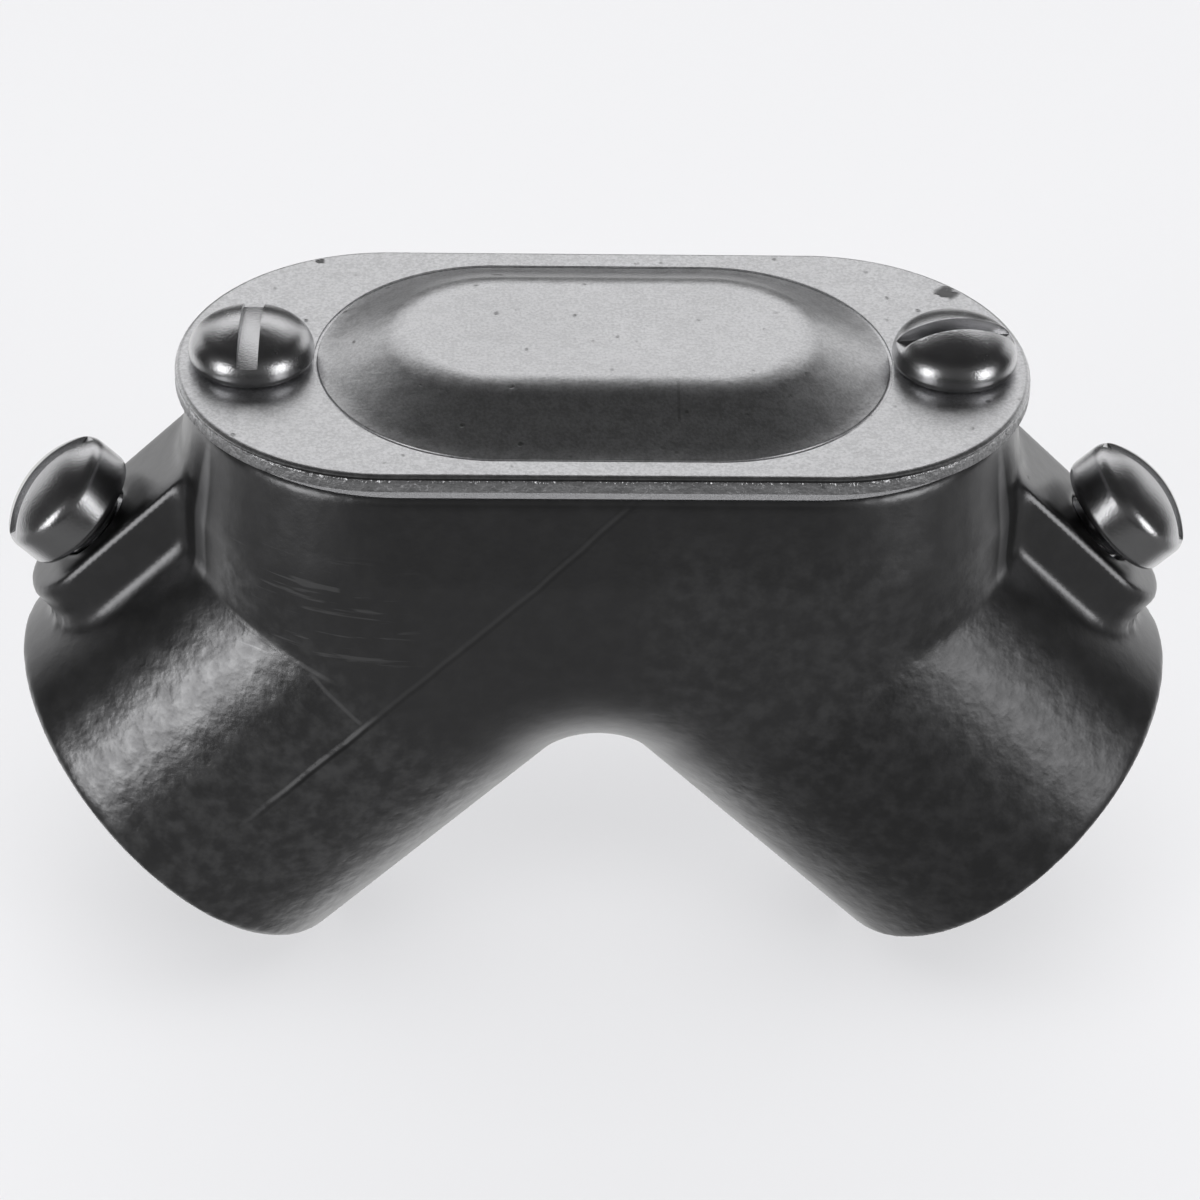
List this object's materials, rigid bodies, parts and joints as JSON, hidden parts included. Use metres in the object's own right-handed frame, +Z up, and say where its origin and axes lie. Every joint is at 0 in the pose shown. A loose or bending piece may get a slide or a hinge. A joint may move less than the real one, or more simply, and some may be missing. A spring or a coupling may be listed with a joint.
{
  "type": "conduit pull elbow",
  "caption": "Right-angle die-cast conduit pull elbow with a gasketed, screwed access cover over the bend and a set screw at each tube socket.",
  "frame": {"origin": "on the plane of the lowest points of the mouths' rims, at the middle of the elbow", "axes": "+Z up through the cover, +X along the housing towards the right hub, +Y away from the front side"},
  "size_m": [0.0632, 0.024, 0.037],
  "materials": {
    "cast_body": "satin die-cast zinc",
    "cast_cover": "satin die-cast zinc, lighter",
    "gasket": "matt",
    "screw": "bright zinc plate"
  },
  "bodies": {
    "elbow": {"body": "cast_body", "gasket": "gasket"},
    "access_cover": {"cover": "cast_cover"},
    "left_cover_screw": {"cover_screw_left": "screw"},
    "right_cover_screw": {"cover_screw_right": "screw"},
    "left_set_screw": {"set_screw_left": "screw"},
    "right_set_screw": {"set_screw_right": "screw"}
  },
  "joints": [
    {"name": "cover_lift", "type": "slide", "parent": "elbow", "child": "access_cover", "axis": [0, 0, 1], "range_m": [0, 0.02]},
    {"name": "left_cover_screw_out", "type": "slide", "parent": "access_cover", "child": "left_cover_screw", "axis": [0, 0, 1], "range_m": [0, 0.008]},
    {"name": "right_cover_screw_out", "type": "slide", "parent": "access_cover", "child": "right_cover_screw", "axis": [0, 0, 1], "range_m": [0, 0.008]},
    {"name": "left_set_screw_out", "type": "slide", "parent": "elbow", "child": "left_set_screw", "axis": [-0.7071, 0, 0.7071], "range_m": [-0.0006, 0.0045]},
    {"name": "right_set_screw_out", "type": "slide", "parent": "elbow", "child": "right_set_screw", "axis": [0.7071, 0, 0.7071], "range_m": [-0.0006, 0.0045]}
  ]
}
